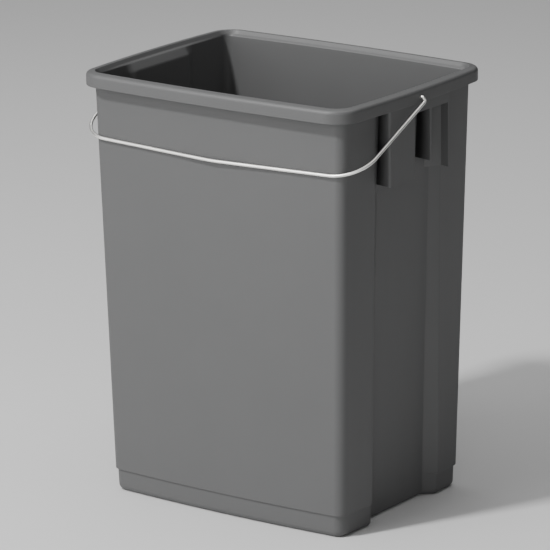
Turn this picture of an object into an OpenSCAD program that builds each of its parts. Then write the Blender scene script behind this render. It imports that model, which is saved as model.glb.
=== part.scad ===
// Rectangular office wastebasket: a one-piece moulded tub with a wire bail handle.
// Millimetres. +Z is up, X runs along the wide front, the front faces -Y, and the
// origin is on the floor under the centre of the tub.

/* [Rim] */
// Height from the floor to the top of the rim
bin_h = 400; // [340:1:480]
// Width of the rim across the middle of its sides
rim_w = 302.2; // [270:0.1:340]
// Depth of the rim across the middle of its front and back
rim_d = 236.2; // [210:0.1:270]
// Outer radius of the rim's corners in plan
rim_corner_r = 24.3; // [18:0.1:32]
// How far the middle of each rim side bows outward
rim_bow = 3.1; // [0:0.1:5]
// Height of the skirt, from its lower edge to the top of the rim
skirt_h = 12.9; // [11.5:0.1:20]
// Thickness of the skirt and of the top of the rim
skirt_t = 1.9; // [1.5:0.1:2.4]
// Radius of the rim's outer top edge
rim_edge_r = 3.5; // [2.5:0.1:4]
// How much lower the outer edge of the rim top is than its inner edge
rim_fall = 0.8; // [0:0.1:1.5]
// Width of the rim top, from the skirt's face to the inner lip
rim_top_w = 8.2; // [7.5:0.1:9]

/* [Walls] */
// Wall thickness
wall_t = 2.2; // [1.6:0.1:2.8]
// How far the rim overhangs the outside of the wall
rim_overhang = 10.5; // [10:0.1:13]
// Bow of the front and rear walls
front_bow = 4; // [0:0.1:6]
// Bow of the side walls
side_bow = 1.7; // [0:0.1:3]
// Radius of the wall's vertical corners under the rim
wall_corner_r = 10.2; // [7:0.1:16]

/* [Base] */
// How far the wall just above the base step is set in from the rim, at the sides
base_in = 19.4; // [14:0.1:24]
// Depth of the wall just above the base step
base_d = 200.8; // [180:0.1:215]
// Height of the step around the base
step_z = 20.6; // [12:0.1:30]
// How far the base is set in below the step
step_in = 1.5; // [0.8:0.1:3]
// Radius of the vertical corners at the base
base_corner_r = 10; // [8.5:0.1:16]
// Radius of the bottom edge
base_edge_r = 5.5; // [3:0.1:6]
// Radius between the floor and the walls inside
floor_r = 5; // [3:0.1:5.5]
// Thickness of the floor
floor_t = 2.5; // [1.8:0.1:3.5]

/* [Side recess] */
// How far the recess face is set in from the wall at the floor
recess_base_in = 13.4; // [10:0.1:16]
// How far the recess face is set in from the rim, under the rim
recess_top_in = 15.4; // [13:0.1:18]
// Front end of the flat recess face at the floor, from the middle of the side
recess_front_l = 39; // [30:0.5:44]
// Front end of the flat recess face under the rim
recess_front_top_l = 40; // [30:0.5:44]
// Rear end of the flat recess face at the floor
recess_rear_l = 48.6; // [38:0.1:52]
// Rear end of the flat recess face under the rim
recess_rear_top_l = 36; // [30:0.5:44]
// Length of the slope from the recess out to the wall, front end at the floor
flank_front = 11; // [8:0.5:16]
// Length of the front slope under the rim
flank_front_top = 17; // [10:0.5:20]
// Length of the slope from the recess out to the wall, rear end at the floor
flank_rear = 11.6; // [8:0.1:14]
// Length of the rear slope under the rim
flank_rear_top = 14; // [10:0.5:20]
// Share of each slope that is rounded at either end
flank_blend = 0.2; // [0.1:0.05:0.4]

/* [Side ribs] */
// Distance from the middle of the side to the front rib's front face
rib_front_y = 46; // [43:0.5:48]
// Length of the front rib along the side
front_rib_l = 39.7; // [34:0.1:41]
// Gap between the front rib and the middle fin
front_gap = 24; // [18:0.1:26]
// Gap between the middle fin and the rear fin
rear_gap = 26; // [20:0.5:28]
// Thickness of the two fins
fin_t = 2.4; // [1.6:0.1:3]
// Height of the front rib and the rear fin, from their underside to the top of the rim
rib_h = 81.5; // [74:0.5:95]
// Height of the middle fin
middle_fin_h = 70; // [60:0.5:73]
// Height of the lintel that joins them under the rim
lintel_h = 22; // [19:0.5:28]
// How far their faces are set in from the skirt
rib_set_in = 1.6; // [1.4:0.1:1.7]
// Length of the sloping pad in front of the rear fin
pad_l = 14; // [10:0.5:22]
// How far the pad stops short of the rear fin's face
pad_in = 7.4; // [4:0.1:10]
// How much lower each underside is at its face than at the wall
rib_fall = 1.2; // [0:0.1:3]
// Radius of the front rib's upright edges
rib_edge_r = 2.6; // [1:0.1:4]
// Thickness of the front rib's own walls
rib_t = 2; // [1.6:0.1:2.6]

/* [Bail] */
// Diameter of the wire
wire_d = 3; // [2.4:0.1:3.2]
// Depth of the pivot axis below the top of the rim
pivot_depth = 7.7; // [7.2:0.1:8.2]
// Gap between each arm and the skirt
arm_gap = 1.7; // [1.4:0.1:4]
// How far the crossbar reaches past the rim, measured from the pivot
bar_past_rim = 5.3; // [5:0.1:12]
// Angle of each half of the crossbar, which makes a shallow V
bar_angle = 2.6; // [1.6:0.1:3]
// Radius of the bend in the middle of the crossbar
bar_bend_r = 150; // [60:5:250]
// Radius of the bends between the crossbar and the arms
corner_bend_r = 32; // [24:0.5:36]
// Offset of the pins from the plane of the arms
crank = 4.7; // [4.6:0.1:7]
// Radius of the two tight bends at the crank
crank_bend_r = 2.2; // [1.9:0.1:2.3]
// Length of each pin inside the tub
pin_l = 8.5; // [5:0.1:10]
// Radial clearance between a pin and its hole
pin_clearance = 0.08; // [0.03:0.01:0.1]
// Gap between the resting bail and the wall
rest_gap = 0.3; // [0.2:0.05:1]

/* [Hidden] */
tub_colour = [0.35, 0.36, 0.37];
wire_colour = [0.78, 0.78, 0.8];
eps = 0.01;

// Half sizes in plan, to the ends of the straight sides where the bow is nothing
rim_hx = rim_w / 2 - rim_bow;
rim_hy = rim_d / 2 - rim_bow;
wall_hx = rim_w / 2 - rim_overhang - side_bow;
wall_hy = rim_d / 2 - rim_overhang - front_bow;
base_w = rim_w - 2 * base_in;
recess_base_w = base_w - 2 * recess_base_in;
recess_top_w = rim_w - 2 * recess_top_in;
base_hx = base_w / 2 - side_bow;
base_hy = base_d / 2 - front_bow;
foot_draft = 0.6;
ledge_h = 0.6;

// Heights
skirt_z = bin_h - skirt_h;
wall_top_z = skirt_z - 0.6;
rim_edge_z = bin_h - rim_fall - rim_edge_r;
slope_z = bin_h - 3.6;
lip_foot_z = bin_h - 5;
wall_inner_top_z = bin_h - 12;
under_z = bin_h - rim_fall - skirt_t * 0.65;
pivot_z = bin_h - pivot_depth;

// Profile of the lip, as how far each line is set in from the skirt's face
lip_in = rim_top_w + 1;
slope_in = rim_top_w + 2.1;
under_in = slope_in - skirt_t - 0.4;
lip_r = 0.6;

// Recess face and its ends at height z
function mix(a, b, t) = a + (b - a) * t;
function recess_x(z) = mix(recess_base_w, recess_top_w, z / wall_inner_top_z) / 2;
function flat_end(side, z) =
    side < 0 ? mix(recess_front_l, recess_front_top_l, z / wall_inner_top_z)
             : mix(recess_rear_l, recess_rear_top_l, z / wall_inner_top_z);
function flank(side, z) =
    side < 0 ? mix(flank_front, flank_front_top, z / wall_inner_top_z)
             : mix(flank_rear, flank_rear_top, z / wall_inner_top_z);

// Rise of a slope with rounded ends, where t and the rise both run from 0 to 1
function rise(t) =
    t < flank_blend ? t * t / (2 * flank_blend * (1 - flank_blend))
    : t > 1 - flank_blend ? 1 - rise(1 - t)
    : (t - flank_blend / 2) / (1 - flank_blend);

// A level is one outline of the tub: height, half sizes, corner radius, bows along
// the sides and the front, and the recess face, where 0 means that it has none.
function rim_level(z, inset) =
    [z, rim_hx - inset, rim_hy - inset, rim_corner_r - inset, rim_bow, rim_bow, 0];
function wall_level(z, inset) =
    let (t = (z - step_z) / (wall_top_z - step_z))
    [z, mix(base_hx, wall_hx, t) - inset, mix(base_hy, wall_hy, t) - inset,
     mix(base_corner_r, wall_corner_r, t) - inset, side_bow, front_bow, recess_x(z) - inset];
function plain_level(z, inset) =
    concat([for (i = [0 : 5]) wall_level(z, inset)[i]], 0);
function foot_level(z, inset) =
    let (t = z / step_z, in = step_in + foot_draft * (1 - t) + inset)
    [z, base_hx - in, base_hy - in, base_corner_r - inset, side_bow, front_bow,
     recess_x(z) - inset];

edge_steps = [0, 30, 60, 90];
foot_rounding = [for (a = edge_steps)
    foot_level(base_edge_r * (1 - cos(a)), base_edge_r * (1 - sin(a)))];
rim_rounding = [for (a = [0, 22.5, 45, 67.5, 90])
    rim_level(rim_edge_z + rim_edge_r * sin(a), rim_edge_r * (1 - cos(a)))];
floor_rounding = [for (a = [90, 60, 30, 0])
    foot_level(floor_t + floor_r * (1 - cos(a)), wall_t + floor_r * (1 - sin(a)))];

// The tub's outlines in order: up the outside, over the rim and down the inside
levels = concat(
    foot_rounding,
    [foot_level(step_z, 0),
     wall_level(step_z + ledge_h, 0),
     wall_level(wall_top_z, 0),
     rim_level(slope_z - 0.2, under_in),
     rim_level(under_z, under_in - 1),
     rim_level(under_z, rim_edge_r),
     rim_level(under_z - 0.6, skirt_t + 0.5),
     rim_level(rim_edge_z, skirt_t),
     rim_level(skirt_z, skirt_t),
     rim_level(skirt_z, 0)],
    rim_rounding,
    [rim_level(bin_h, rim_top_w),
     rim_level(bin_h - 0.3 * lip_r, rim_top_w + lip_r),
     rim_level(bin_h - 1, lip_in),
     rim_level(slope_z, slope_in),
     plain_level(lip_foot_z, wall_t),
     wall_level(wall_inner_top_z, wall_t),
     wall_level(step_z + wall_t, wall_t),
     foot_level(step_z - wall_t / 2, wall_t)],
    floor_rounding);

// The bin's inside grown into its walls. The ribs stop short of it.
rib_root = 0.8;
inside_levels =
    [wall_level(bin_h - rib_h - 2, wall_t - rib_root),
     wall_level(wall_inner_top_z, wall_t - rib_root),
     plain_level(lip_foot_z, wall_t - rib_root)];

// Points of a quarter outline, from the middle of the side to the middle of the
// front (side -1) or the rear (side 1)
flank_steps = [0, flank_blend / 2, flank_blend, 1 - flank_blend, 1 - flank_blend / 2, 1];
corner_steps = 8;
front_steps = 6;

function side_point(level, side, y) =
    let (z = level[0],
         run = level[2] - level[3],
         x = level[1] + level[4] * (1 - pow(y / run, 2)),
         t = min(1, max(0, (y - flat_end(side, z)) / flank(side, z))))
    [level[6] > 0 ? mix(min(level[6], x), x, rise(t)) : x, side * y, z];

function side_points(level, side) =
    let (z = level[0],
         flat = flat_end(side, z),
         slope = flank(side, z),
         run = level[2] - level[3],
         stops = concat([0, flat / 2],
                        [for (t = flank_steps) flat + slope * t],
                        [(flat + slope + run) / 2]))
    [for (y = stops) side_point(level, side, y)];

function corner_points(level, side) =
    [for (i = [0 : corner_steps])
        let (a = 90 * i / corner_steps)
        [level[1] - level[3] + level[3] * cos(a),
         side * (level[2] - level[3] + level[3] * sin(a)),
         level[0]]];

function front_points(level, side) =
    let (run = level[1] - level[3])
    [for (i = [front_steps - 1 : -1 : 0])
        let (s = i / front_steps)
        [run * s, side * (level[2] + level[5] * (1 - s * s)), level[0]]];

function quarter(level, side) =
    concat(side_points(level, side), corner_points(level, side), front_points(level, side));

function outline(level) =
    let (rear = quarter(level, 1),
         front = quarter(level, -1),
         last = len(rear) - 1)
    concat([for (i = [0 : last - 1]) rear[i]],
           [for (i = [last : -1 : 1]) [-rear[i][0], rear[i][1], rear[i][2]]],
           [for (i = [0 : last - 1]) [-front[i][0], front[i][1], front[i][2]]],
           [for (i = [last : -1 : 1]) front[i]]);

// Faces that join each of count outlines of n points to the next one
function band_faces(count, n) =
    [for (j = [0 : count - 1], i = [0 : n - 1], half = [0, 1])
        let (a = j * n + i, b = j * n + (i + 1) % n, c = b + n, d = a + n)
        half == 0 ? [a, d, c] : [a, c, b]];

// Flat cap over the outline of n points that starts at point first, facing down.
// Each strip joins two neighbouring points on the right to their mirror points.
function cap(first, n) =
    let (quarter_n = n / 4)
    [for (k = [0 : 2 * quarter_n - 1], half = [0, 1])
        let (a = (3 * quarter_n + k) % n,
             b = (a + 1) % n,
             a_left = (n + 2 * quarter_n - a) % n,
             b_left = (n + 2 * quarter_n - b) % n,
             face = half == 0 ? [a, b, b_left] : [a, b_left, a_left])
        if (half == 0 ? b != b_left : a != a_left) [for (i = face) first + i]];

// Solid through a list of levels, with a flat cap on the first and on the last
module loft(steps) {
    rings = [for (level = steps) outline(level)];
    n = len(rings[0]);
    top = len(rings) - 1;
    bottom_faces = cap(0, n);
    floor_faces = [for (face = cap(top * n, n)) [face[2], face[1], face[0]]];
    polyhedron(points = [for (ring = rings) each ring],
               faces = concat(bottom_faces, floor_faces, band_faces(top, n)));
}

// Side ribs. Their section is drawn in X and Z and runs along Y.
rib_x = rim_w / 2 - rib_set_in;
rib_z = bin_h - rib_h;
middle_fin_z = bin_h - middle_fin_h;
lintel_z = bin_h - lintel_h;
front_rib_end = front_rib_l - rib_front_y;
middle_fin_y = front_rib_end + front_gap;
rear_fin_y = middle_fin_y + fin_t + rear_gap;
pad_x = rib_x - pad_in;
rib_bed = 0.4;
hollow_clear = 1.2;
hollow_top_z = pivot_z - wire_d / 2 - 2 * rib_t;

module along_y(y0, y1) {
    translate([0, y1, 0]) rotate([90, 0, 0]) linear_extrude(y1 - y0) children();
}

// Section of a rib whose face is at x and whose underside is at height z, from its
// bed in the recess up to the underside of the rim
module rib_section(x, z) {
    polygon([[recess_x(z + rib_fall) - rib_bed, z + rib_fall],
             [recess_x(wall_top_z) - rib_bed, wall_top_z],
             [rim_w / 2 - (slope_in + under_in) / 2, slope_z],
             [rim_w / 2 - under_in + 1, under_z + skirt_t / 5],
             [x - rim_edge_r / 2, under_z + skirt_t / 5],
             [x, rim_edge_z + 0.6],
             [x, z]]);
}

// Plan of a rib with its two outer upright edges rounded
module rib_plan(y0, y1, x) {
    translate([0, y0]) square([x - rib_edge_r, y1 - y0]);
    translate([0, y0 + rib_edge_r]) square([x, y1 - y0 - 2 * rib_edge_r]);
    for (y = [y0 + rib_edge_r, y1 - rib_edge_r])
        translate([x - rib_edge_r, y]) circle(r = rib_edge_r, $fn = 48);
}

module front_rib() {
    intersection() {
        along_y(-rib_front_y, front_rib_end) rib_section(rib_x, rib_z);
        translate([0, 0, rib_z]) linear_extrude(rib_h) rib_plan(-rib_front_y, front_rib_end, rib_x);
    }
}

// Pad that slopes out from the recess to the rear fin, between the fin and the lintel
module pad() {
    pad_top_z = lintel_z + 1;
    pad_y = rear_fin_y - pad_l;
    pad_end = rear_fin_y + fin_t / 2;
    intersection() {
        along_y(pad_y, pad_end)
            polygon([[recess_x(rib_z + rib_fall) - rib_bed, rib_z + rib_fall],
                     [recess_x(pad_top_z) - rib_bed, pad_top_z],
                     [pad_x, pad_top_z],
                     [pad_x, rib_z]]);
        translate([0, 0, rib_z]) linear_extrude(rib_h)
            polygon([[0, pad_y],
                     [recess_x(rib_z), pad_y],
                     [pad_x, rear_fin_y],
                     [pad_x, pad_end],
                     [0, pad_end]]);
    }
}

module ribs() {
    front_rib();
    pad();
    along_y(middle_fin_y, middle_fin_y + fin_t) rib_section(rib_x, middle_fin_z);
    along_y(rear_fin_y, rear_fin_y + fin_t) rib_section(rib_x, rib_z);
    along_y(front_rib_end - rib_edge_r, rear_fin_y + fin_t / 2) rib_section(rib_x, lintel_z);
}

// Hollow moulded up into the front rib from below
module hollow() {
    below = rib_z - 1;
    inner = rib_x - rib_t;
    along_y(rib_t - rib_front_y, front_rib_end - rib_t)
        polygon([[recess_x(below) + hollow_clear, below],
                 [recess_x(hollow_top_z) + hollow_clear, hollow_top_z],
                 [inner, hollow_top_z],
                 [inner, below]]);
}

module pin_hole() {
    hole_l = pin_l + 1;
    translate([rim_w / 2 - hole_l, 0, pivot_z]) rotate([0, 90, 0])
        cylinder(r = wire_d / 2 + pin_clearance, h = hole_l + 2, $fn = 48);
}

module both_sides() {
    children();
    mirror([1, 0, 0]) children();
}

module tub() {
    color(tub_colour)
    difference() {
        union() {
            loft(levels);
            difference() {
                both_sides() ribs();
                loft(inside_levels);
            }
        }
        both_sides() {
            hollow();
            pin_hole();
        }
    }
}

// Bail. Drawn flat about the pivot axis, with the crossbar at -Y, then swung down
// until it is rest_gap away from the front wall.
arm_x = rim_w / 2 + arm_gap + wire_d / 2;
bar_reach = rim_d / 2 + bar_past_rim;
bar_bend_end = bar_bend_r * sin(bar_angle);
corner_x = arm_x - corner_bend_r;
pin_root = arm_x - crank_bend_r;
pin_lap = 0.5;
wire_sides = 16;
corner_bend_steps = 12;

// Distance from the pivot to the crossbar at x, in the plane of the arms
function bar_line(x) = x < bar_bend_end
    ? bar_reach - bar_bend_r + sqrt(pow(bar_bend_r, 2) - x * x)
    : bar_reach - bar_bend_r * (1 - cos(bar_angle)) - (x - bar_bend_end) * tan(bar_angle);
corner_y = bar_line(corner_x) - corner_bend_r / cos(bar_angle);

// Angle below level at which the crossbar meets the wall at x, with the arms on
// the pivot's low side (lift 1, at the front) or its high side (lift -1, at the rear)
wall_lean = (wall_hy - base_hy) / (wall_top_z - step_z);
function meet_angle(x, lift) =
    let (reach = bar_line(x),
         drop = lift * crank,
         run = wall_hx - wall_corner_r,
         face = base_hy - wall_lean * step_z + front_bow * (1 - pow(x / run, 2)),
         level_part = reach + wall_lean * drop,
         down_part = wall_lean * reach - drop,
         target = face + wall_lean * pivot_z
                + (wire_d / 2 + rest_gap) * sqrt(1 + pow(wall_lean, 2)))
    atan2(down_part, level_part)
        + acos(target / sqrt(pow(level_part, 2) + pow(down_part, 2)));
rest_angle = min([for (x = [0 : 2 : corner_x]) meet_angle(x, 1)]);
rear_angle = min([for (x = [0 : 2 : corner_x]) meet_angle(x, -1)]);
swing = 180 + rest_angle + rear_angle;

// A station is where the wire's centre is, which way the wire runs, and a normal.
// These run from the middle of the crossbar to the right pin.
bar_y = bar_bend_r - bar_reach;
stations = concat(
    [for (a = [0, bar_angle / 2, bar_angle])
        [[bar_bend_r * sin(a), bar_y - bar_bend_r * cos(a), -crank],
         [cos(a), sin(a), 0],
         [0, 0, 1]]],
    [for (i = [0 : corner_bend_steps])
        let (a = mix(bar_angle, 90, i / corner_bend_steps))
        [[corner_x + corner_bend_r * sin(a), -corner_y - corner_bend_r * cos(a), -crank],
         [cos(a), sin(a), 0],
         [0, 0, 1]]],
    [for (a = [0 : 22.5 : 90])
        [[arm_x, crank_bend_r * (sin(a) - 1), crank_bend_r * (1 - cos(a)) - crank],
         [0, cos(a), sin(a)],
         [0, -sin(a), cos(a)]]],
    [for (a = [0 : 22.5 : 90])
        [[arm_x - crank_bend_r * (1 - cos(a)), 0, crank_bend_r * (sin(a) - 1)],
         [-sin(a), 0, cos(a)],
         [0, -1, 0]]],
    [[[pin_root - pin_lap, 0, 0], [-1, 0, 0], [0, -1, 0]]]);
function mirrored(s) =
    [[-s[0][0], s[0][1], s[0][2]], [s[1][0], -s[1][1], -s[1][2]], s[2]];

function wire_ring(s) =
    [for (i = [0 : wire_sides - 1])
        let (a = 360 * i / wire_sides)
        s[0] + (wire_d / 2 - eps) * (cos(a) * s[2] + sin(a) * cross(s[1], s[2]))];

module wire() {
    last = len(stations) - 1;
    run = concat([for (i = [last : -1 : 1]) mirrored(stations[i])], stations);
    polyhedron(points = [for (s = run) each wire_ring(s)],
               faces = concat([[for (i = [0 : wire_sides - 1]) i]],
                              [[for (i = [wire_sides - 1 : -1 : 0]) 2 * last * wire_sides + i]],
                              band_faces(2 * last, wire_sides)));
}

module pin() {
    pin_end = rim_w / 2 - pin_l;
    translate([pin_end, 0, 0]) rotate([0, 90, 0])
        cylinder(d = wire_d, h = pin_root - pin_end, $fn = 32);
}

module bail_handle() {
    color(wire_colour)
    translate([0, 0, pivot_z]) rotate([rest_angle, 0, 0]) {
        wire();
        both_sides() pin();
    }
}

tub();
bail_handle();
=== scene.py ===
import math
import bmesh
import bpy
from mathutils import Matrix, Vector
from mathutils.bvhtree import BVHTree


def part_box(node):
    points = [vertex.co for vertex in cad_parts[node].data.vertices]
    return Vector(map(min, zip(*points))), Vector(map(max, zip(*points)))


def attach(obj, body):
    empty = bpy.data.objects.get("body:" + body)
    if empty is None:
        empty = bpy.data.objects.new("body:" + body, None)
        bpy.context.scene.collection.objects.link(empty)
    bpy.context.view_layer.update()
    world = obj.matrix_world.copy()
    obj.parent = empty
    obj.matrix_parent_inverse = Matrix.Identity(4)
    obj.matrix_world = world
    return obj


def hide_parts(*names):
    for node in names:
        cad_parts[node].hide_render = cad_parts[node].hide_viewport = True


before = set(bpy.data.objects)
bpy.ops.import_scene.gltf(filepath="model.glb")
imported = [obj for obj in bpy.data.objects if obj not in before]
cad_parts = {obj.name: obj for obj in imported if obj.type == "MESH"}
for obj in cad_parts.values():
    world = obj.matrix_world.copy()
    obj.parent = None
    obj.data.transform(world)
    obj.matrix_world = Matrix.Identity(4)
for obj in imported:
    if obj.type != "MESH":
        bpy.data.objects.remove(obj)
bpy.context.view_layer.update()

mm = 0.001
scene = bpy.context.scene

# The photograph's frame is 550 by 550. These are the only places taken from it.
imageSize = (550, 550)
imagePoints = {
    "left": (85.5, 95.0),
    "right": (479.0, 76.0),
    "top": (262.0, 27.5),
    "bottom": (345.0, 537.0),
    "rimLeftCorner": (86.2, 75.4),
    "rimRearCorner": (227.3, 28.6),
    "skirtFrontCorner": (342.2, 125.0),
    "stepFrontCorner": (340.5, 516.6),
    "barMiddle": (211.0, 160.5),
    "barLeftEnd": (92.5, 131.6),
    "barRightEnd": (349.4, 174.0),
    "pinRight": (420.9, 96.8),
    "ribFrontEdge": (390.4, 147.8),
    "middleFinFoot": (430.4, 160.6),
    "rearFinFoot": (447.9, 166.5),
}


# ---- Camera

photoView = {
    "azimuth": 35.707, "elevation": 15.636, "roll": -0.578,   # degrees
    "aim": (-0.00745, -0.00381, 0.20448), "distance": 3.9766,
    "lens": 283.37, "sensor": 36.0, "clipEnd": 50.0,
}


def makeCamera(v):
    turn, lift, roll = (math.radians(v[k]) for k in ("azimuth", "elevation", "roll"))
    back = Vector((math.sin(turn) * math.cos(lift), -math.cos(turn) * math.cos(lift), math.sin(lift)))
    right = Vector((0, 0, 1)).cross(back).normalized()
    up = back.cross(right)
    axes = (right * math.cos(roll) + up * math.sin(roll), up * math.cos(roll) - right * math.sin(roll), back)
    camera = bpy.data.objects.new("photoCamera", bpy.data.cameras.new("photoCamera"))
    camera.data.lens = v["lens"]
    camera.data.sensor_width = v["sensor"]
    camera.data.sensor_fit = "AUTO"
    camera.data.clip_end = v["clipEnd"]
    stand = Matrix.Translation(Vector(v["aim"]) + back * v["distance"])
    camera.matrix_world = stand @ Matrix(axes).transposed().to_4x4()
    scene.collection.objects.link(camera)
    scene.camera = camera
    return camera


camera = makeCamera(photoView)
print("camera placed")


# ---- Small helpers

def mix(a, b, t):
    return a + (b - a) * t


def rise(t, blend):   # a slope with rounded ends, where t and the rise both run from 0 to 1
    t = min(1, max(0, t))
    if t < blend:
        return t * t / (2 * blend * (1 - blend))
    if t > 1 - blend:
        return 1 - rise(1 - t, blend)
    return (t - blend / 2) / (1 - blend)


def addObject(name, bm, smooth=True):
    mesh = bpy.data.meshes.new(name)
    bmesh.ops.recalc_face_normals(bm, faces=bm.faces)
    bm.to_mesh(mesh)
    bm.free()
    for face in mesh.polygons:
        face.use_smooth = smooth
    piece = bpy.data.objects.new(name, mesh)
    scene.collection.objects.link(piece)
    return piece


def weightNormals(piece, weight=80):   # large faces stay flat next to their small bevels
    modifier = piece.modifiers.new("weighted", "WEIGHTED_NORMAL")
    modifier.weight = weight


def edgesWhere(bm, test):
    return [e for e in bm.edges if all(test(v.co) for v in e.verts)]


def cutAcross(bm, axis, place):   # a loop of edges right through, at one height, depth or width
    spot, way = Vector(), Vector()
    spot[axis], way[axis] = place, 1
    bmesh.ops.bisect_plane(bm, geom=list(bm.verts) + list(bm.edges) + list(bm.faces),
                           plane_co=spot, plane_no=way, dist=0.001)


def extrude(bm, faces):
    grown = bmesh.ops.extrude_face_region(bm, geom=faces)["geom"]
    return [v for v in grown if isinstance(v, bmesh.types.BMVert)]


def bevelEdges(bm, edges, radius, segments=3):
    bmesh.ops.bevel(bm, geom=edges, offset=radius, segments=segments, profile=0.5,
                    affect="EDGES", material=-1, clamp_overlap=True)


class Link:   # a shader socket that takes part in sums
    def __init__(self, tree, socket):
        self.tree = tree
        self.socket = socket

    def maths(self, operation, a, b):
        node = self.tree.nodes.new("ShaderNodeMath")
        node.operation = operation
        for socket, value in zip(node.inputs, (a, b)):
            if isinstance(value, Link):
                self.tree.links.new(value.socket, socket)
            else:
                socket.default_value = value
        return Link(self.tree, node.outputs[0])

    def __add__(self, other):
        return self.maths("ADD", self, other)

    def __sub__(self, other):
        return self.maths("SUBTRACT", self, other)

    def __mul__(self, other):
        return self.maths("MULTIPLY", self, other)

    __radd__ = __add__
    __rmul__ = __mul__


class Finish:   # one material and its nodes
    def __init__(self, name):
        self.material = bpy.data.materials.new(name)
        self.material.use_nodes = True
        self.tree = self.material.node_tree
        self.tree.nodes.clear()

    def node(self, kind, settings=None, inputs=None, output=0):
        node = self.tree.nodes.new("ShaderNode" + kind)
        for key, value in (settings or {}).items():
            setattr(node, key, value)
        for key, value in (inputs or {}).items():
            if isinstance(value, Link):
                self.tree.links.new(value.socket, node.inputs[key])
            else:
                node.inputs[key].default_value = value
        return Link(self.tree, node.outputs[output])

    def place(self, scale=(1, 1, 1)):   # the piece's own coordinates, in metres
        spot = self.node("TexCoord", output=3)
        return self.node("Mapping", {}, {"Vector": spot, "Scale": scale})

    def surface(self, inputs):
        shader = self.node("BsdfPrincipled", {}, inputs)
        output = self.tree.nodes.new("ShaderNodeOutputMaterial")
        self.tree.links.new(shader.socket, output.inputs["Surface"])


# ---- Materials

plastic = {
    "dark": (0.075, 0.0755, 0.076, 1), "light": (0.082, 0.0825, 0.083, 1),
    "roughness": 0.52, "cloudRough": 0.08, "drawnRough": 0.05, "grainRough": 0.06, "specular": 0.45,
    "cloud": 14.0, "grain": 0.0007, "drawnStretch": (90, 90, 2.5), "pitScale": 0.7, "pitShare": 0.5,
    "grainDepth": 0.35, "grainHeight": 0.00012, "softDepth": 0.25, "softHeight": 0.0004, "drawnShare": 0.6,
}


def makePlastic(p):
    f = Finish("mouldedPlastic")
    spot = f.place()
    cloud = f.node("TexNoise", {}, {"Vector": spot, "Scale": p["cloud"], "Detail": 3.0, "Roughness": 0.55})
    grain = f.node("TexNoise", {}, {"Vector": spot, "Scale": 1 / p["grain"], "Detail": 2.0, "Roughness": 0.6})
    pits = f.node("TexVoronoi", {"feature": "F1"}, {"Vector": spot, "Scale": p["pitScale"] / p["grain"]})
    drawn = f.node("TexNoise", {}, {"Vector": f.place(p["drawnStretch"]), "Scale": 1.0, "Detail": 4.0})
    tone = f.node("Mix", {"data_type": "RGBA"}, {0: cloud, 6: p["dark"], 7: p["light"]}, output=2)
    rough = p["roughness"] + (cloud - 0.5) * p["cloudRough"] + (drawn - 0.5) * p["drawnRough"]
    rough = rough + (grain - 0.5) * p["grainRough"]
    fine = f.node("Bump", {}, {"Strength": p["grainDepth"], "Distance": p["grainHeight"],
                               "Height": grain + pits * p["pitShare"]})
    soft = f.node("Bump", {}, {"Strength": p["softDepth"], "Distance": p["softHeight"],
                               "Height": drawn * p["drawnShare"] + cloud, "Normal": fine})
    f.surface({"Base Color": tone, "Roughness": rough, "Normal": soft, "Specular IOR Level": p["specular"]})
    return f.material


steel = {
    "bright": (0.97, 0.96, 0.93, 1), "dull": (0.84, 0.83, 0.8, 1),
    "roughness": 0.38, "cloudRough": 0.2, "scuffRough": 0.12, "cloud": 90.0, "scuff": 900.0,
    "scuffDepth": 0.2, "scuffHeight": 0.00004,
}


def makeSteel(p):
    f = Finish("platedWire")
    spot = f.place()
    cloud = f.node("TexNoise", {}, {"Vector": spot, "Scale": p["cloud"], "Detail": 5.0, "Roughness": 0.6})
    scuff = f.node("TexNoise", {}, {"Vector": spot, "Scale": p["scuff"], "Detail": 3.0})
    tone = f.node("Mix", {"data_type": "RGBA"}, {0: cloud, 6: p["dull"], 7: p["bright"]}, output=2)
    rough = p["roughness"] + (cloud - 0.5) * p["cloudRough"] + (scuff - 0.5) * p["scuffRough"]
    bump = f.node("Bump", {}, {"Strength": p["scuffDepth"], "Distance": p["scuffHeight"],
                               "Height": scuff + cloud})
    f.surface({"Base Color": tone, "Metallic": 1.0, "Roughness": rough, "Normal": bump})
    return f.material


plasticFinish = makePlastic(plastic)
steelFinish = makeSteel(steel)
print("materials made")


# ---- Tub. Sizes are in millimetres, and the rim's width, depth and height come from the frame.

tubLow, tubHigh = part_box("tub")
tub = {
    "width": (tubHigh.x - tubLow.x) / mm, "depth": (tubHigh.y - tubLow.y) / mm, "height": tubHigh.z / mm,
    "rimCorner": 24.3, "rimBow": 3.1, "skirtHeight": 12.9, "skirt": 1.9, "wallDrop": 0.6, "underGap": 0.4,
    "edgeRadius": 3.5, "rimFall": 0.8, "rimTop": 8.2, "lipRun": 2.1, "lipDrop": 3.6, "lipFoot": 5.0,
    "wall": 2.2, "overhang": 10.5, "frontBow": 4.0, "sideBow": 1.7, "wallCorner": 10.2,
    "baseWidth": 263.4, "baseDepth": 200.8, "baseCorner": 10.0, "leastCorner": 1.0,
    "stepHeight": 20.6, "stepIn": 1.5, "footDraft": 0.6, "ledge": 0.6, "footRadius": 5.5,
    "floor": 2.5, "floorRadius": 5.0, "underIn": 9.0, "underRise": 0.9,
}
recess = {   # the pairs are at the floor and under the rim
    "baseX": 118.3, "topX": 135.7, "topZ": 388.0, "blend": 0.2,
    "frontFlat": (39.0, 40.0), "frontSlope": (11.0, 17.0),
    "rearFlat": (48.6, 36.0), "rearSlope": (11.6, 14.0),
}
tubSteps = {"flat": 6, "slope": 12, "side": 5, "corner": 16, "front": 24, "wallRows": 14}
wallTopZ = tub["height"] - tub["skirtHeight"] - tub["wallDrop"]


def recessX(z):
    return mix(recess["baseX"], recess["topX"], z / recess["topZ"])


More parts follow.
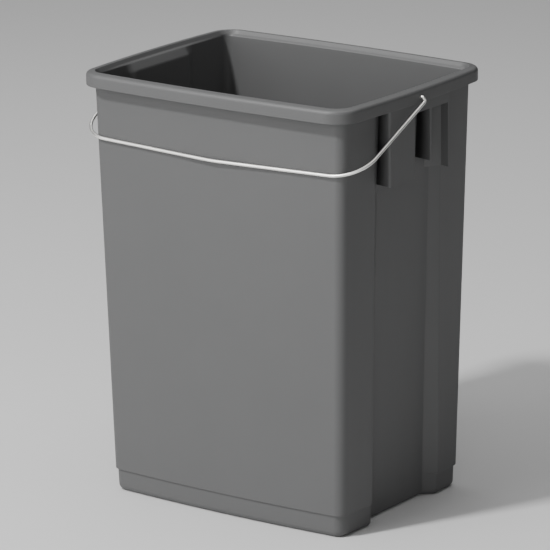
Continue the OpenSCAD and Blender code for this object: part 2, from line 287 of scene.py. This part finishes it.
def rimLevel(z, inset):   # z, half sizes, corner radius, bows, recess face
    t = tub
    return (z, t["width"] / 2 - t["rimBow"] - inset, t["depth"] / 2 - t["rimBow"] - inset,
            t["rimCorner"] - inset, t["rimBow"], t["rimBow"], None)


def wallLevel(z, inset):
    t = tub
    up = (z - t["stepHeight"]) / (wallTopZ - t["stepHeight"])
    topX = t["width"] / 2 - t["overhang"] - t["sideBow"]
    topY = t["depth"] / 2 - t["overhang"] - t["frontBow"]
    return (z, mix(t["baseWidth"] / 2 - t["sideBow"], topX, up) - inset,
            mix(t["baseDepth"] / 2 - t["frontBow"], topY, up) - inset,
            mix(t["baseCorner"], t["wallCorner"], up) - inset,
            t["sideBow"], t["frontBow"], recessX(z) - inset)


def footLevel(z, inset):
    t = tub
    back = t["stepIn"] + t["footDraft"] * (1 - z / t["stepHeight"]) + inset
    return (z, t["baseWidth"] / 2 - t["sideBow"] - back, t["baseDepth"] / 2 - t["frontBow"] - back,
            max(t["baseCorner"] - inset, t["leastCorner"]), t["sideBow"], t["frontBow"], recessX(z) - inset)


def quarter(level, side):   # from the middle of the side to the middle of the front or rear
    z, halfX, halfY, corner, sideBow, frontBow, recessFace = level
    up = z / recess["topZ"]
    flat = mix(*recess["frontFlat" if side < 0 else "rearFlat"], up)
    slope = mix(*recess["frontSlope" if side < 0 else "rearSlope"], up)
    run, across, n = halfY - corner, halfX - corner, tubSteps
    stops = [flat * i / n["flat"] for i in range(n["flat"])]
    stops += [flat + slope * i / n["slope"] for i in range(n["slope"])]
    stops += [mix(flat + slope, run, i / n["side"]) for i in range(n["side"])]
    points = []
    for y in stops:
        x = halfX + sideBow * (1 - (y / run) ** 2)
        if recessFace is not None:
            x = mix(min(recessFace, x), x, rise((y - flat) / slope, recess["blend"]))
        points.append((x, side * y, z))
    for i in range(n["corner"]):
        a = math.pi / 2 * i / n["corner"]
        points.append((across + corner * math.cos(a), side * (run + corner * math.sin(a)), z))
    for i in range(n["front"] + 1):
        s = 1 - i / n["front"]
        points.append((across * s, side * (halfY + frontBow * (1 - s * s)), z))
    return points


def outline(level):
    rear, front = quarter(level, 1), quarter(level, -1)
    flip = lambda points: [(-x, y, z) for x, y, z in points]
    return rear[:-1] + flip(rear)[:0:-1] + flip(front)[:-1] + front[:0:-1]


def arc(start, stop, count):   # sines and cosines along a rounded edge, angles in degrees
    turns = [math.radians(mix(start, stop, i / count)) for i in range(count + 1)]
    return [(math.sin(a), math.cos(a)) for a in turns]


def tubLevels():   # the outlines in order, up the outside and down the inside, and the creases to round
    t = tub
    top, skirtZ = t["height"], t["height"] - t["skirtHeight"]
    edge, edgeZ = t["edgeRadius"], t["height"] - t["rimFall"] - t["edgeRadius"]
    slopeIn = t["rimTop"] + t["lipRun"]
    underIn = slopeIn - t["skirt"] - t["underGap"]
    underZ = top - t["rimFall"] - t["skirt"] * 0.65
    innerTop, stepZ = recess["topZ"], t["stepHeight"]
    foot, inner, under = t["footRadius"], t["floorRadius"], t["footRadius"] + t["underIn"]
    sections = [
        ([footLevel(t["underRise"], under + 2), footLevel(0, under)], 0),
        ([footLevel(foot * (1 - c), foot * (1 - s)) for s, c in arc(0, 90, 6)], 0),
        ([footLevel(stepZ * 0.5, 0)], 0),
        ([footLevel(stepZ, 0)], 0.28),
        ([wallLevel(stepZ + t["ledge"], 0)], 0.28),
        ([wallLevel(mix(stepZ + t["ledge"], wallTopZ, i / tubSteps["wallRows"]), 0)
          for i in range(1, tubSteps["wallRows"])], 0),
        ([wallLevel(wallTopZ, 0)], 0),
        ([rimLevel(top - t["lipDrop"] - 0.2, underIn), rimLevel(underZ, underIn - 1), rimLevel(underZ, edge),
          rimLevel(underZ - 0.6, t["skirt"] + 0.5), rimLevel(edgeZ, t["skirt"])], 0),
        ([rimLevel(skirtZ, t["skirt"])], 0.4),
        ([rimLevel(skirtZ, 0)], 0.5),
        ([rimLevel(edgeZ + edge * s, edge * (1 - c)) for s, c in arc(0, 90, 8)], 0),
        ([rimLevel(top, t["rimTop"])], 0.8),
        ([rimLevel(top - t["lipDrop"], slopeIn)], 0.8),
        ([wallLevel(top - t["lipFoot"], t["wall"])[:-1] + (None,)], 0.8),
        ([wallLevel(innerTop, t["wall"])], 1.5),
        ([wallLevel(mix(innerTop, stepZ + t["wall"], i / tubSteps["wallRows"]), t["wall"])
          for i in range(1, tubSteps["wallRows"])], 0),
        ([wallLevel(stepZ + t["wall"], t["wall"])], 0.6),
        ([footLevel(stepZ - t["wall"] / 2, t["wall"])], 0.6),
        ([footLevel(t["floor"] + inner * (1 - s), t["wall"] + inner * (1 - c))
          for s, c in arc(0, 90, 6)], 0),
    ]
    rows, creases = [], {}
    for levels, radius in sections:
        if radius:
            creases[len(rows)] = radius
        rows += levels
    return rows, creases


def makeTub(finish):
    rows, creases = tubLevels()
    rings = [outline(level) for level in rows]
    around = len(rings[0])
    bm = bmesh.new()
    creaseOf = bm.verts.layers.float.new("crease")
    bmesh.ops.create_grid(bm, x_segments=around, y_segments=len(rows) - 1, size=1)
    for v in bm.verts:
        column = round((v.co.x + 1) / 2 * around) % around
        row = round((v.co.y + 1) / 2 * (len(rows) - 1))
        v.co = rings[row][column]
        v[creaseOf] = creases.get(row, 0)
    bmesh.ops.remove_doubles(bm, verts=bm.verts, dist=0.0001)
    for row in (rows[0], rows[-1]):
        rim = [e for e in bm.edges if e.is_boundary and abs(e.verts[0].co.z - row[0]) < 0.01]
        bmesh.ops.contextual_create(bm, geom=rim)
    for radius in sorted(set(creases.values())):
        edges = [e for e in bm.edges if all(abs(v[creaseOf] - radius) < 0.001 for v in e.verts)
                 and abs(e.verts[0].co.z - e.verts[1].co.z) < 0.001]
        bevelEdges(bm, edges, radius)
    bmesh.ops.scale(bm, vec=(mm, mm, mm), verts=bm.verts)
    piece = addObject("tubShell", bm)
    piece.data.materials.append(finish)
    return piece


tubShell = makeTub(plasticFinish)
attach(tubShell, "tub")
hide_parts("tub")
print("tub made,", len(tubShell.data.polygons), "faces")


# ---- Side ribs, in millimetres. Their outline is drawn in Y and Z, then given its depth in X.

ribs = {
    "frontY": 46.0, "frontLength": 39.7, "frontGap": 24.0, "rearGap": 26.0, "fin": 2.4,
    "height": 81.5, "middleHeight": 70.0, "lintel": 22.0, "setIn": 1.6, "fall": 1.2,
    "padLength": 14.0, "padIn": 7.4, "edge": 2.6, "finEdge": 0.9, "wall": 2.0, "bed": 0.4,
    "hollowTop": 13.2, "softEdge": 0.45, "root": 1.4, "flankRows": (36.0, 38.5, 41.0, 43.5),
}


def ribPlaces():   # where the ribs start and end in Y, their undersides and their faces
    r, top = ribs, tub["height"]
    place = {"front": -r["frontY"], "frontEnd": r["frontLength"] - r["frontY"]}
    place["middle"] = place["frontEnd"] + r["frontGap"]
    place["middleEnd"] = place["middle"] + r["fin"]
    place["fin"] = place["middleEnd"] + r["rearGap"]
    place["finEnd"] = place["fin"] + r["fin"]
    place["lowZ"], place["middleZ"] = top - r["height"], top - r["middleHeight"]
    place["lintelZ"], place["hollowZ"] = top - r["lintel"], top - r["hollowTop"]
    place["faceX"] = tub["width"] / 2 - r["setIn"]
    return place


def rootX(y, z, bed):   # the bed, or inside the wall's thickness where it turns out to the rear
    halfX, halfY, corner, bow, frontBow, face = wallLevel(z, 0)[1:]
    high = z / recess["topZ"]
    along = (y - mix(*recess["rearFlat"], high)) / mix(*recess["rearSlope"], high)
    wall = halfX + bow * (1 - (y / (halfY - corner)) ** 2)
    return max(bed, mix(face, wall, rise(along, recess["blend"])) - ribs["root"])


def addPad(bm, heights, padX, padEnd, end):   # slopes out from the recess to the rear fin
    r = ribs
    foot = recessX(heights[0])
    rings = []
    for z in heights:
        bed = recessX(z) - r["bed"]
        start = padEnd - r["padLength"] * (padX - bed) / (padX - foot)
        ring = [(padX, padEnd), (padX, end), (rootX(end, z, bed), end)]
        ring += [(rootX(y, z, bed), y) for y in reversed(r["flankRows"])] + [(bed, start)]
        rings.append([bm.verts.new((x, y, z)) for x, y in ring])
    for ring in rings:
        bm.faces.new(ring)
    for i in range(len(rings[0])):
        j = (i + 1) % len(rings[0])
        bm.faces.new((rings[0][i], rings[0][j], rings[1][j], rings[1][i]))


def makeRibs(name, side, finish):
    r, t, p = ribs, tub, ribPlaces()
    top, faceX = t["height"], p["faceX"]
    slopeZ, ribTop = top - t["lipDrop"], top - t["rimFall"] - 0.9
    slopeX, topX = t["width"] / 2 - t["rimTop"] - 1, t["width"] / 2 - t["rimTop"] + 1.2
    lowZ, middleZ, lintelZ, hollowZ = (p[k] for k in ("lowZ", "middleZ", "lintelZ", "hollowZ"))
    front, frontEnd, middle, middleEnd = (p[k] for k in ("front", "frontEnd", "middle", "middleEnd"))
    fin, finEnd = p["fin"], p["finEnd"]

    def bedX(z):
        if z > slopeZ:
            return topX
        if z > wallTopZ:
            return mix(recessX(wallTopZ) - r["bed"], slopeX, (z - wallTopZ) / (slopeZ - wallTopZ))
        return recessX(z) - r["bed"]

    comb = [(front, lowZ), (front, ribTop), (finEnd, ribTop), (finEnd, lowZ), (fin, lowZ), (fin, lintelZ),
            (middleEnd, lintelZ), (middleEnd, middleZ), (middle, middleZ), (middle, lintelZ),
            (frontEnd, lintelZ), (frontEnd, lowZ)]
    bm = bmesh.new()
    bm.faces.new([bm.verts.new((0, y, z)) for y, z in comb])
    for z in (lintelZ, wallTopZ, slopeZ):
        cutAcross(bm, 2, z)
    for y in r["flankRows"]:
        cutAcross(bm, 1, y)
    back = set(bm.verts)
    for v in extrude(bm, list(bm.faces)):
        v.co.x = faceX
    for v in bm.verts:
        if v in back:
            v.co.x = rootX(v.co.y, v.co.z, bedX(v.co.z)) if v.co.z < slopeZ - 1 else bedX(v.co.z)
            if v.co.z < lintelZ - 1:
                v.co.z += r["fall"]
        elif v.co.z > slopeZ + 0.01:
            v.co.x -= t["edgeRadius"] / 2
    bmesh.ops.recalc_face_normals(bm, faces=bm.faces)
    under = [f for f in bm.faces if f.normal.z < -0.9 and front < f.calc_center_median().y < frontEnd]
    bmesh.ops.inset_region(bm, faces=under, thickness=r["wall"], use_even_offset=True)
    deepest = min(v.co.x for v in under[0].verts)
    for v in extrude(bm, under):
        v.co.x += recessX(hollowZ) - recessX(v.co.z) if v.co.x < deepest + 1 else 0
        v.co.z = hollowZ
    edges = {front: r["edge"], frontEnd: r["edge"], middle: r["finEdge"], middleEnd: r["finEdge"]}
    for y, radius in edges.items():
        bevelEdges(bm, edgesWhere(bm, lambda co: co.x > faceX - 2 and abs(co.y - y) < 0.01
                                  and (y == front or co.z < lintelZ + 0.01)), radius, 6)
    addPad(bm, (lowZ, lintelZ + 1), faceX - r["padIn"], fin, fin + r["fin"] / 2)
    bmesh.ops.recalc_face_normals(bm, faces=bm.faces)
    sharp = [e for e in edgesWhere(bm, lambda co: co.z < wallTopZ and co.x > bedX(co.z) + 1)
             if len(e.link_faces) == 2 and e.calc_face_angle(0) > math.radians(40)]
    bevelEdges(bm, sharp, r["softEdge"], 2)
    bmesh.ops.scale(bm, vec=(mm * side, mm, mm), verts=bm.verts)
    piece = addObject(name, bm)
    piece.data.materials.append(finish)
    return piece


ribPieces = {}
for name, side in (("ribsRight", 1), ("ribsLeft", -1)):
    piece = makeRibs(name, side, plasticFinish)
    weightNormals(piece)
    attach(piece, "tub")
    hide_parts("tub")
    ribPieces[name] = piece
print("side ribs made")


# ---- Bail. The wire's own plane first, then it is swung down to the wall.

bail = {
    "wire": 3.0, "pivotDepth": 7.7, "armGap": 1.7, "pastRim": 5.3, "barAngle": 2.6, "barBend": 150.0,
    "cornerBend": 32.0, "crank": 4.7, "crankBend": 2.2, "pin": 8.5, "restAngle": 24.785,
    "barSteps": 6, "cornerSteps": 32, "crankSteps": 10,
}


def wirePath():   # from the middle of the crossbar to the end of the right pin
    b = bail
    armX = tub["width"] / 2 + b["armGap"] + b["wire"] / 2
    reach = tub["depth"] / 2 + b["pastRim"]
    v = math.radians(b["barAngle"])
    cornerX = armX - b["cornerBend"]
    lineEnd = b["barBend"] * math.sin(v)
    slack = b["barBend"] * (1 - math.cos(v)) + (cornerX - lineEnd) * math.tan(v)
    cornerY = reach - slack - b["cornerBend"] / math.cos(v)
    r, low = b["crankBend"], -b["crank"]
    path = [(b["barBend"] * s, b["barBend"] * (1 - c) - reach, low)
            for s, c in arc(0, b["barAngle"], b["barSteps"])]
    path += [(cornerX + b["cornerBend"] * s, -cornerY - b["cornerBend"] * c, low)
             for s, c in arc(b["barAngle"], 90, b["cornerSteps"])]
    path += [(armX, r * (s - 1), r * (1 - c) + low) for s, c in arc(0, 90, b["crankSteps"])]
    path += [(armX - r * (1 - c), 0, r * (s - 1)) for s, c in arc(0, 90, b["crankSteps"])]
    path.append((tub["width"] / 2 - b["pin"], 0, 0))
    return path


def swing():   # the turn about the pins that brings the wire's plane down to the wall
    return Matrix.Rotation(math.radians(bail["restAngle"]), 3, "X")


def makeBail(finish):
    right = wirePath()
    whole = [(-x, y, z) for x, y, z in right[:0:-1]] + right
    curve = bpy.data.curves.new("bailPath", "CURVE")
    curve.dimensions = "3D"
    curve.bevel_depth = bail["wire"] / 2
    curve.bevel_resolution = 6
    curve.use_fill_caps = True
    spline = curve.splines.new("POLY")
    spline.points.add(len(whole) - 1)
    for point, spot in zip(spline.points, whole):
        point.co = (*spot, 1)
    sweep = bpy.data.objects.new("bailPath", curve)
    scene.collection.objects.link(sweep)
    bpy.context.view_layer.update()
    swept = sweep.evaluated_get(bpy.context.evaluated_depsgraph_get())
    bm = bmesh.new()
    bm.from_mesh(bpy.data.meshes.new_from_object(swept))
    bpy.data.objects.remove(sweep)
    bmesh.ops.remove_doubles(bm, verts=bm.verts, dist=0.001)
    bmesh.ops.rotate(bm, cent=(0, 0, 0), matrix=swing(), verts=bm.verts)
    bmesh.ops.translate(bm, vec=(0, 0, tub["height"] - bail["pivotDepth"]), verts=bm.verts)
    bmesh.ops.scale(bm, vec=(mm, mm, mm), verts=bm.verts)
    piece = addObject("bailWire", bm)
    piece.data.materials.append(finish)
    return piece


bailWire = makeBail(steelFinish)
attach(bailWire, "bail")
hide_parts("bail_handle")
print("bail made")


# ---- Floor and studio light

studio = {
    "floor": (0.58, 0.58, 0.58, 1), "floorSize": 8, "floorRoughness": 0.6, "floorSpecular": 0.3,
    "world": (0.5, 0.5, 0.5, 1), "worldStrength": 0.08, "aimHeight": 0.2,
    "keyWay": (-0.227, -0.618, 0.752), "keyDistance": 3.2, "keySize": 0.26, "keyPower": 120.0,
    "topWay": (-0.1, 0.1, 1.0), "topDistance": 3.0, "topSize": 3.5, "topPower": 75.0,
    "frontWay": (-0.4, -0.85, 0.3), "frontDistance": 3.2, "frontSize": 2.2, "frontPower": 60.0,
    "fillWay": (0.62, -0.74, 0.25), "fillDistance": 4.0, "fillSize": 2.5, "fillPower": 46.0,
}


def addLight(name, way, distance, size, power):
    lamp = bpy.data.lights.new(name, "AREA")
    lamp.size = size
    lamp.energy = power
    light = bpy.data.objects.new(name, lamp)
    way = Vector(way).normalized()
    stand = Matrix.Translation(way * distance + Vector((0, 0, studio["aimHeight"])))
    light.matrix_world = stand @ way.to_track_quat("Z", "Y").to_matrix().to_4x4()
    scene.collection.objects.link(light)


def makeStudio(s):
    bm = bmesh.new()
    bmesh.ops.create_grid(bm, x_segments=1, y_segments=1, size=s["floorSize"])
    floor = addObject("floor", bm, smooth=False)
    f = Finish("paleFloor")
    f.surface({"Base Color": s["floor"], "Roughness": s["floorRoughness"],
               "Specular IOR Level": s["floorSpecular"]})
    floor.data.materials.append(f.material)
    for lamp in ("key", "top", "front", "fill"):
        addLight(lamp + "Light", s[lamp + "Way"], s[lamp + "Distance"], s[lamp + "Size"], s[lamp + "Power"])
    world = bpy.data.worlds.new("studioAir")
    world.use_nodes = True
    world.node_tree.nodes["Background"].inputs["Color"].default_value = s["world"]
    world.node_tree.nodes["Background"].inputs["Strength"].default_value = s["worldStrength"]
    scene.world = world


makeStudio(studio)
weightNormals(tubShell)
print("studio made")


# ---- How far each named thing shows from its point

def focalLength():   # in pixels
    return max(imageSize) * camera.data.lens / camera.data.sensor_width


def cameraSlide():   # the camera's shift, in pixels
    return camera.data.shift_x * max(imageSize), camera.data.shift_y * max(imageSize)


def shownAt(spot):   # where a place shows in the photograph's frame
    x, y, z = camera.matrix_world.inverted() @ Vector(spot)
    pull = focalLength() / -z
    slideX, slideY = cameraSlide()
    return imageSize[0] / 2 - slideX + x * pull, imageSize[1] / 2 + slideY - y * pull


def placeOn(tree, point):   # where the ray through a point meets the piece, or the place nearest it
    start = camera.matrix_world.translation
    slideX, slideY = cameraSlide()
    across = point[0] - imageSize[0] / 2 + slideX
    up = imageSize[1] / 2 - point[1] + slideY
    way = Vector((across, up, -focalLength()))
    way = (camera.matrix_world.to_3x3() @ way).normalized()
    spot = tree.ray_cast(start, way)[0]
    if spot:
        return spot
    along = (Vector(photoView["aim"]) - start).dot(way)
    for step in range(12):
        spot = tree.find_nearest(start + way * along)[0]
        along = (spot - start).dot(way)
    return spot


def cornerSpot(level, sideX, sideY):   # the middle of a rounded corner of an outline
    inward = level[3] * (1 - math.sqrt(0.5))
    return sideX * (level[1] - inward) * mm, sideY * (level[2] - inward) * mm, level[0] * mm


def barSpot(index, side):   # a point of the wire's path, on the right (side 1) or the left (side -1)
    x, y, z = wirePath()[index]
    spot = swing() @ Vector((x * side, y, z))
    return (spot + Vector((0, 0, tub["height"] - bail["pivotDepth"]))) * mm


cornerIndex = 20       # the point of the wire's path that the bar's two ends are measured at
ribEdgeZ = 355.0       # the height on the front rib's edge that ribFrontEdge is measured at


def featurePlaces():   # which piece carries each named feature, and where on it, in metres
    t, p = tub, ribPlaces()
    ribsRight = ribPieces["ribsRight"]
    edgeZ = t["height"] - t["rimFall"] - t["edgeRadius"]
    return {
        "rimLeftCorner": (tubShell, cornerSpot(rimLevel(edgeZ, 0), -1, -1)),
        "rimRearCorner": (tubShell, cornerSpot(rimLevel(t["height"], t["edgeRadius"]), -1, 1)),
        "skirtFrontCorner": (tubShell, cornerSpot(rimLevel(t["height"] - t["skirtHeight"], 0), 1, -1)),
        "stepFrontCorner": (tubShell, cornerSpot(footLevel(t["stepHeight"], 0), 1, -1)),
        "barMiddle": (bailWire, barSpot(0, 1)),
        "barLeftEnd": (bailWire, barSpot(cornerIndex, -1)),
        "barRightEnd": (bailWire, barSpot(cornerIndex, 1)),
        "pinRight": (tubShell, (t["width"] / 2 * mm, 0, (t["height"] - bail["pivotDepth"]) * mm)),
        "ribFrontEdge": (ribsRight, Vector((p["faceX"], p["front"], ribEdgeZ)) * mm),
        "middleFinFoot": (ribsRight, Vector((p["faceX"], p["middle"], p["middleZ"])) * mm),
        "rearFinFoot": (ribsRight, Vector((p["faceX"], p["fin"], p["lowZ"])) * mm),
    }


def shownEdges():   # for each side of the object, 0 for x or 1 for y, and where it shows
    pieces = [tubShell, bailWire] + list(ribPieces.values())
    shown = [shownAt(piece.matrix_world @ v.co) for piece in pieces for v in piece.data.vertices]
    acrosses, downs = [spot[0] for spot in shown], [spot[1] for spot in shown]
    return {"left": (0, min(acrosses)), "right": (0, max(acrosses)),
            "top": (1, min(downs)), "bottom": (1, max(downs))}


def checkPoints():
    rows = {name: {"xy"[axis]: round(edge - imagePoints[name][axis], 2)}
            for name, (axis, edge) in shownEdges().items()}
    places = featurePlaces()
    trees = {piece.name: BVHTree.FromObject(piece, bpy.context.evaluated_depsgraph_get())
             for piece, place in places.values()}
    for name, (piece, place) in places.items():
        point, spot = imagePoints[name], shownAt(place)
        met = placeOn(trees[piece.name], point)
        rows[name] = {"x": round(spot[0] - point[0], 2), "y": round(spot[1] - point[1], 2),
                      "apart_mm": round((met - Vector(place)).length / mm, 1)}


checkPoints()
